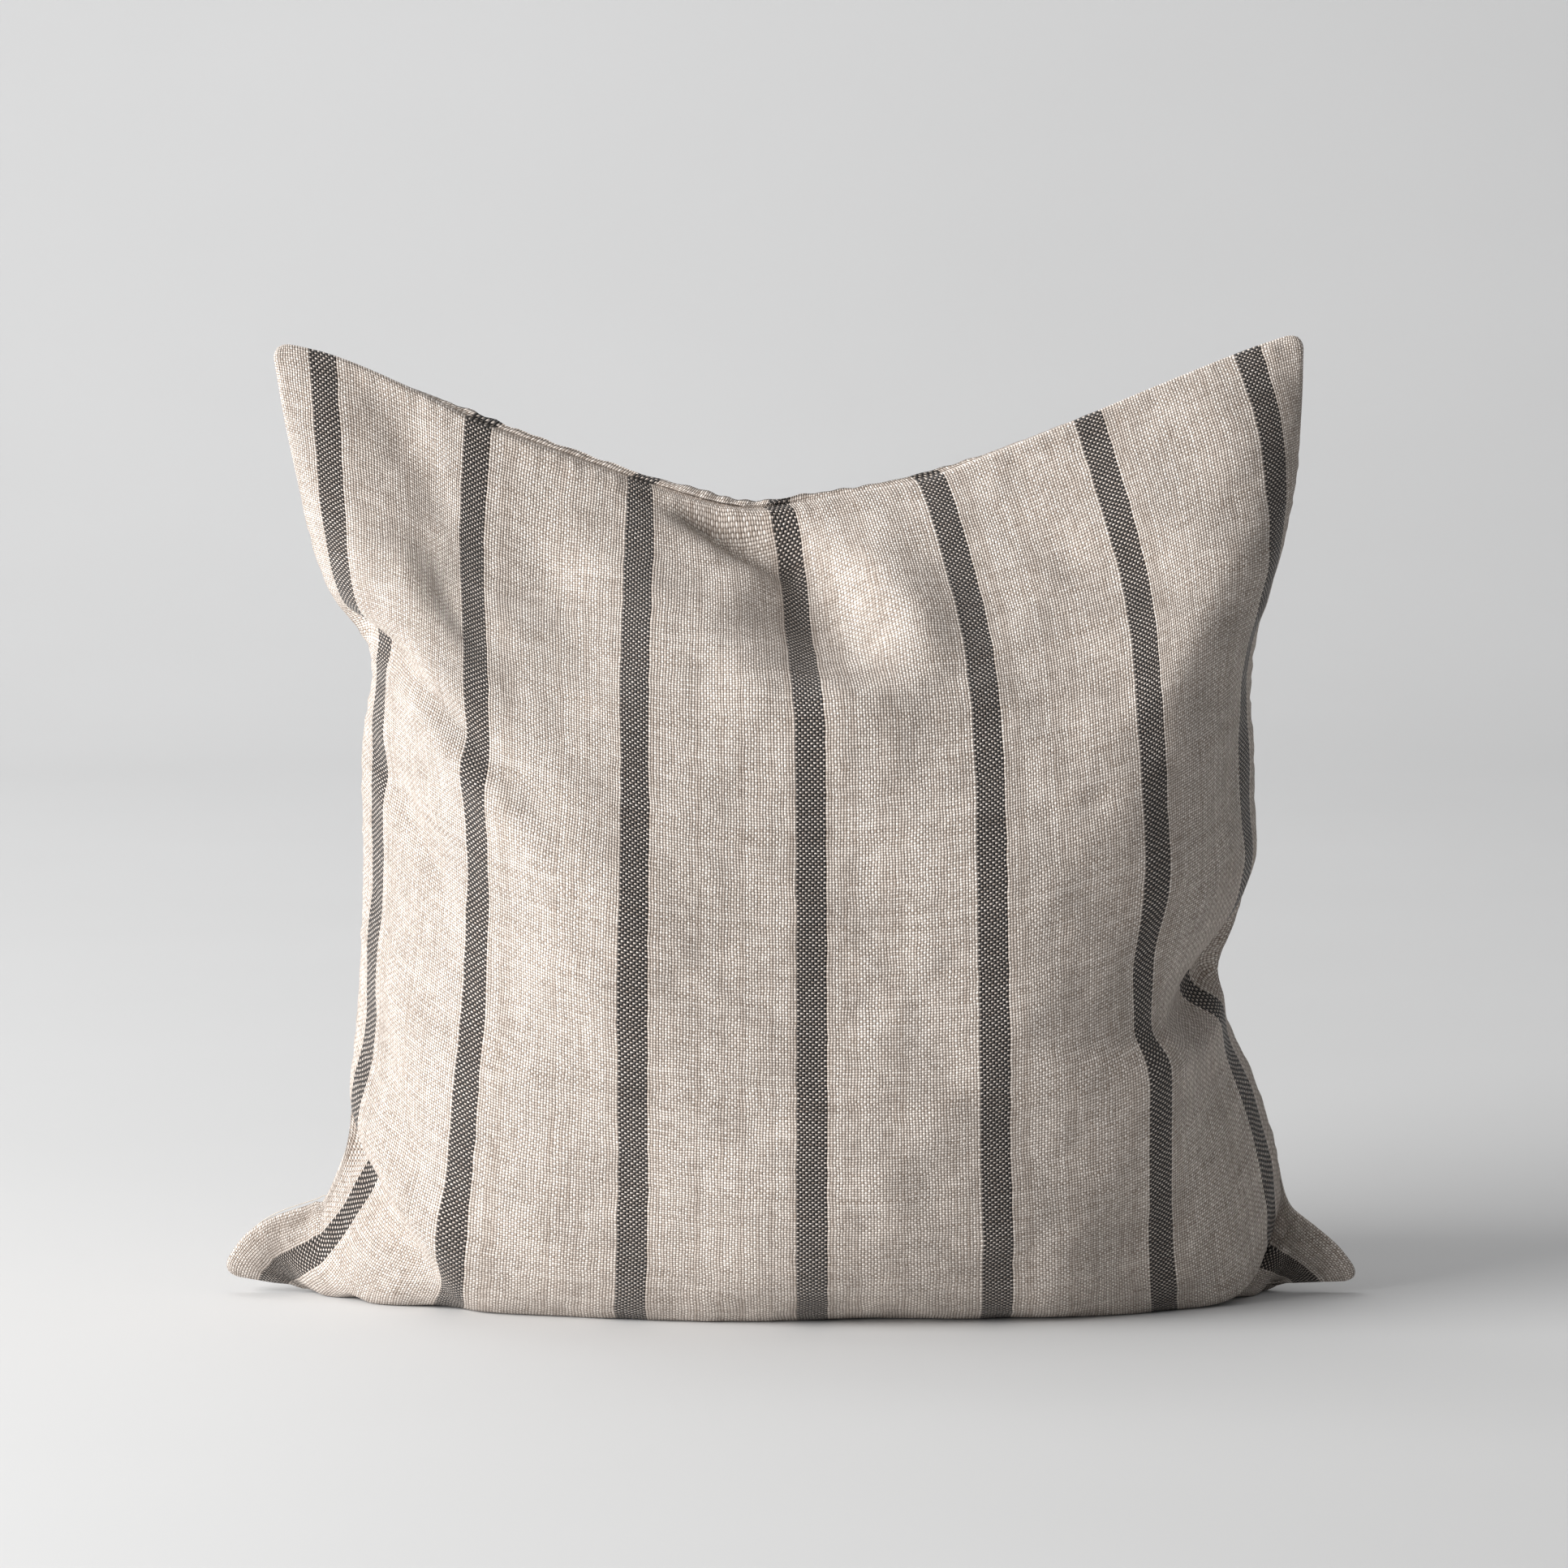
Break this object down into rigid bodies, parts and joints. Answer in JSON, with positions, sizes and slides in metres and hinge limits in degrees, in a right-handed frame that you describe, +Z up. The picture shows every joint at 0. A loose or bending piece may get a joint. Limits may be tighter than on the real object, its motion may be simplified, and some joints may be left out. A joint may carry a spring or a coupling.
{
  "type": "throw pillow",
  "caption": "Square striped linen cushion standing on its bottom edge, with a zipped cover, hidden seams and a soft insert.",
  "frame": {"origin": "bottom centre of the bounding box, on the surface the cushion stands on", "axes": "+X to the right across the stripes as seen from the front, -Y towards the front, +Z up"},
  "size_m": [0.498, 0.2396, 0.427],
  "materials": {
    "linen": "coarse plain-weave linen with dark warp stripes",
    "thread": "spun polyester sewing thread",
    "tape": "woven polyester zip tape",
    "coil": "nylon coil",
    "stop_metal": "satin",
    "slider_metal": "satin enamel",
    "label": "satin tape",
    "ticking": "cotton ticking",
    "filling": "loose polyester fibre"
  },
  "bodies": {
    "pillow": {"cover_front_panel": "linen", "cover_back_panel": "linen", "seam_thread": "thread", "zip_allowance_front": "linen", "zip_allowance_back": "linen", "zip_tape_front": "tape", "zip_tape_back": "tape", "zip_coil_front": "coil", "zip_coil_back": "coil", "zip_stitch_front": "thread", "zip_stitch_back": "thread", "zip_top_stop_front": "stop_metal", "zip_top_stop_back": "stop_metal", "zip_bottom_stop": "stop_metal", "care_label": "label", "insert_ticking_front": "ticking", "insert_ticking_back": "ticking", "insert_seam_thread": "thread", "insert_filling": "filling"},
    "slider": {"zip_slider": "slider_metal"},
    "pull_tab": {"zip_pull_tab": "slider_metal"}
  },
  "joints": [
    {"name": "zip_slide", "type": "slide", "parent": "pillow", "child": "slider", "axis": [-1, 0, 0], "range_m": [0, 0.31]},
    {"name": "pull_tab_hinge", "type": "hinge", "parent": "slider", "child": "pull_tab", "pos_m": [0.155, 0, 0.0029], "axis": [0, -1, 0], "range_deg": [0, 180]}
  ]
}
